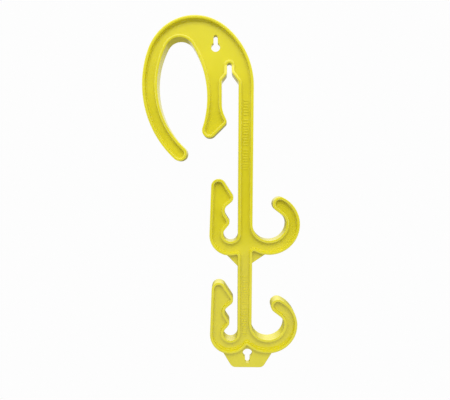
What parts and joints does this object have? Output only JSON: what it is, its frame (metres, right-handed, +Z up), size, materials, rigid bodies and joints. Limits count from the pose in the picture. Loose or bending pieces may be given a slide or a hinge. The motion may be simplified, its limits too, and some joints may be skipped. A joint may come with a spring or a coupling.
{
  "type": "garage utility hook",
  "caption": "Flat moulded wall hook: a broad curved hook with a gripping tongue at the top, and stacked double hooks down a straight stem, hung by keyholes.",
  "frame": {"origin": "centre of the upper keyhole's round hole, on the parting plane midway through the thickness", "axes": "+X to the right seen from the front, +Y to the wall, +Z up"},
  "size_m": [0.153, 0.014, 0.3483],
  "materials": {
    "yellow_plastic": "semi-gloss injection-moulded polypropylene"
  },
  "bodies": {
    "root": {"utility_hook": "yellow_plastic"}
  },
  "joints": []
}
